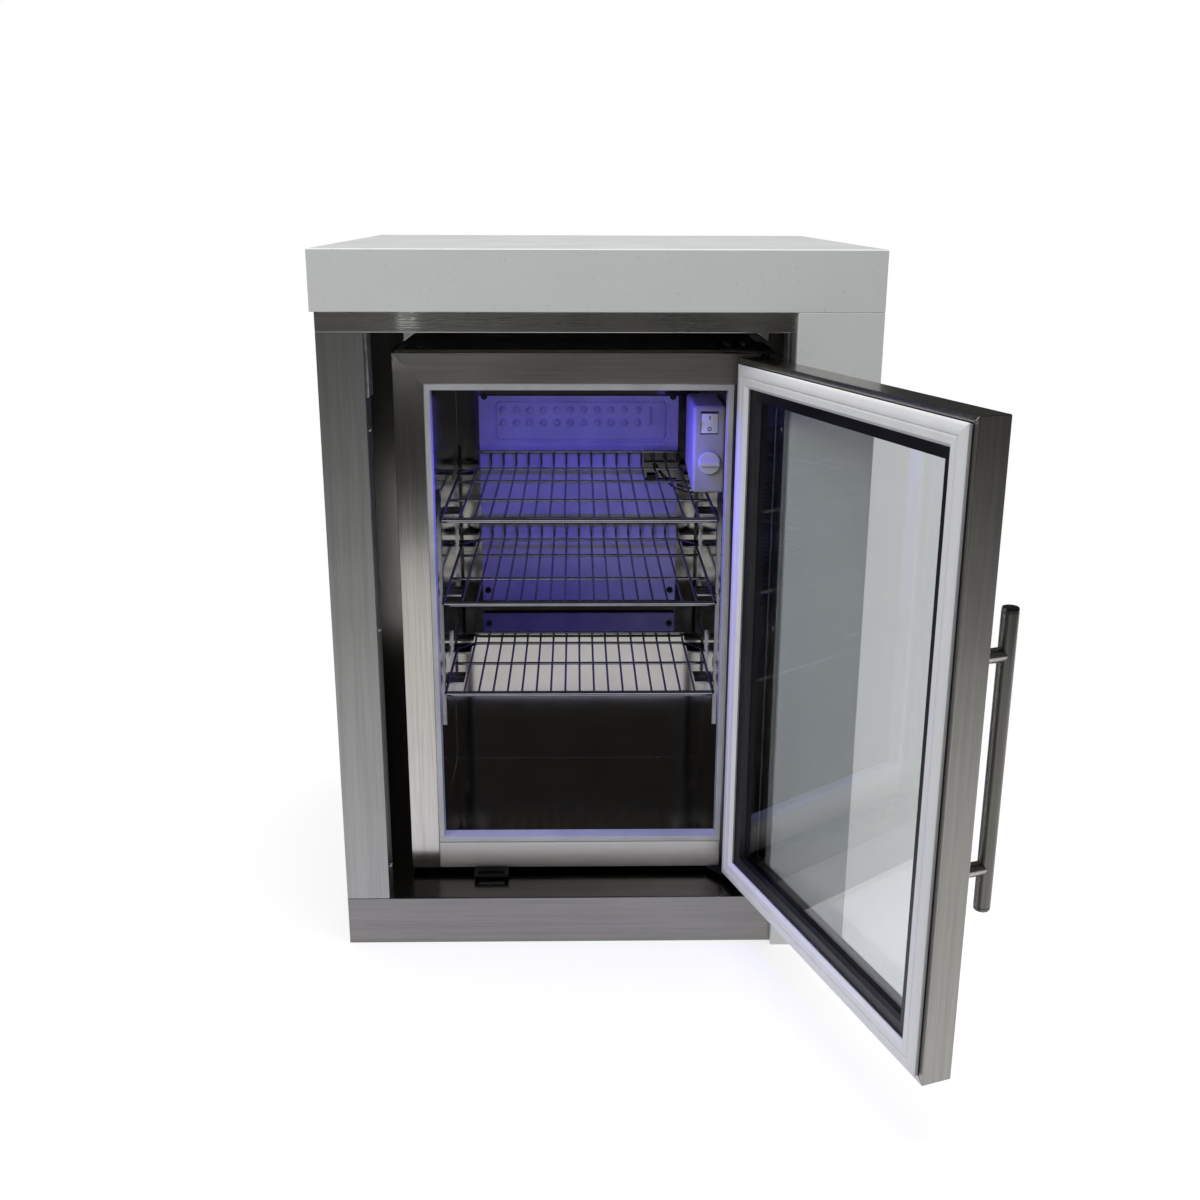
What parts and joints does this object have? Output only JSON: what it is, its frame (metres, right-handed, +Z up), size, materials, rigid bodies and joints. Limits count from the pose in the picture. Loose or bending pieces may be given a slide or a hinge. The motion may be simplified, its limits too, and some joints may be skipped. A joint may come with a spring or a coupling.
{
  "type": "undercounter refrigerator",
  "caption": "Glass-door undercounter cooler with wire shelves in a steel cabinet with a stone worktop and waterfall end; cools and stores drinks and food.",
  "frame": {"origin": "on the floor, under the centre of the stone worktop", "axes": "+X to the right of a person facing the door, +Y to the back, +Z up"},
  "size_m": [0.7523, 1.018, 0.914],
  "materials": {
    "stone": "satin",
    "cabinet_steel": "satin",
    "galvanised": "matte",
    "door_steel": "satin",
    "handle_steel": "satin",
    "black_case": "gloss",
    "grey_sheet": "satin",
    "foam": "matte",
    "liner_steel": "polished",
    "breaker_plastic": "satin",
    "black_plastic": "satin",
    "gasket_rubber": "matte",
    "glass": "polished",
    "spacer_aluminium": "satin",
    "shelf_chrome": "polished",
    "evaporator_white": "satin",
    "control_plastic": "satin",
    "knob_plastic": "satin",
    "rocker_plastic": "gloss",
    "lens_plastic": "gloss",
    "black_metal": "satin",
    "screw_steel": "satin",
    "brass_bush": "satin",
    "lock_chrome": "polished"
  },
  "bodies": {
    "cabinet": {"worktop_slab": "stone", "worktop_aprons": "stone", "waterfall_front": "stone", "waterfall_side": "stone", "worktop_bearers": "galvanised", "upper_rails": "cabinet_steel", "stile_left": "cabinet_steel", "stile_right": "cabinet_steel", "cabinet_side_left": "cabinet_steel", "cabinet_side_right": "cabinet_steel", "cabinet_back": "cabinet_steel", "cable_grommet": "black_plastic", "floor_pan": "cabinet_steel", "plinth": "cabinet_steel", "pan_bearers": "galvanised", "corner_gussets": "galvanised", "cabinet_bolts": "screw_steel", "cooler_case": "black_case", "cooler_back_sheet": "grey_sheet", "cooler_base_pan": "black_case", "cooler_insulation": "foam", "cooler_liner": "liner_steel", "frame_left": "door_steel", "frame_right": "door_steel", "frame_top": "door_steel", "frame_bottom": "door_steel", "breaker_strip": "breaker_plastic", "lock_strike": "black_metal", "hinge_bracket_top": "black_metal", "hinge_bracket_bottom": "black_metal", "case_screws": "screw_steel", "shelf_pilasters": "shelf_chrome", "shelf_clips": "shelf_chrome", "evaporator_plate": "evaporator_white", "evaporator_fixings": "black_plastic", "control_box": "control_plastic", "lamp_housing": "black_plastic", "lamp_lens": "lens_plastic", "cooler_feet": "black_plastic", "compressor": "black_metal", "condenser": "black_metal", "mains_inlet": "black_plastic"},
    "door": {"door_left": "door_steel", "door_right": "door_steel", "door_top": "door_steel", "door_bottom": "door_steel", "door_core": "black_plastic", "hinge_bushes": "brass_bush", "door_gasket": "gasket_rubber", "glass_inner": "glass", "glass_outer": "glass", "glass_spacer": "spacer_aluminium", "handle_bar": "handle_steel", "handle_posts": "handle_steel"},
    "door_lock": {"lock_barrel": "lock_chrome"},
    "shelf_top": {"shelf_top": "shelf_chrome"},
    "shelf_middle": {"shelf_middle": "shelf_chrome"},
    "shelf_bottom": {"shelf_bottom": "shelf_chrome"},
    "thermostat": {"thermostat_knob": "knob_plastic"},
    "light_rocker": {"light_switch": "rocker_plastic"}
  },
  "joints": [
    {"name": "door_hinge", "type": "hinge", "parent": "cabinet", "child": "door", "pos_m": [0.204, -0.2594, 0.43], "axis": [0, 0, 1], "range_deg": [-109.2, 2.5]},
    {"name": "lock_turn", "type": "hinge", "parent": "door", "child": "door_lock", "pos_m": [0.3219, -0.59796, 0.1], "axis": [-0.9444, -0.3289, 0], "range_deg": [0, 90]},
    {"name": "shelf_top_slide", "type": "slide", "parent": "cabinet", "child": "shelf_top", "axis": [0, -1, 0], "range_m": [0, 0.12]},
    {"name": "shelf_middle_slide", "type": "slide", "parent": "cabinet", "child": "shelf_middle", "axis": [0, -1, 0], "range_m": [0, 0.12]},
    {"name": "shelf_bottom_slide", "type": "slide", "parent": "cabinet", "child": "shelf_bottom", "axis": [0, -1, 0], "range_m": [0, 0.12]},
    {"name": "thermostat_turn", "type": "hinge", "parent": "cabinet", "child": "thermostat", "pos_m": [0.1499, -0.1563, 0.635], "axis": [0, 1, 0], "range_deg": [0, 270]},
    {"name": "light_rock", "type": "hinge", "parent": "cabinet", "child": "light_rocker", "pos_m": [0.1499, -0.1533, 0.6875], "axis": [1, 0, 0], "range_deg": [-13, 0]}
  ]
}
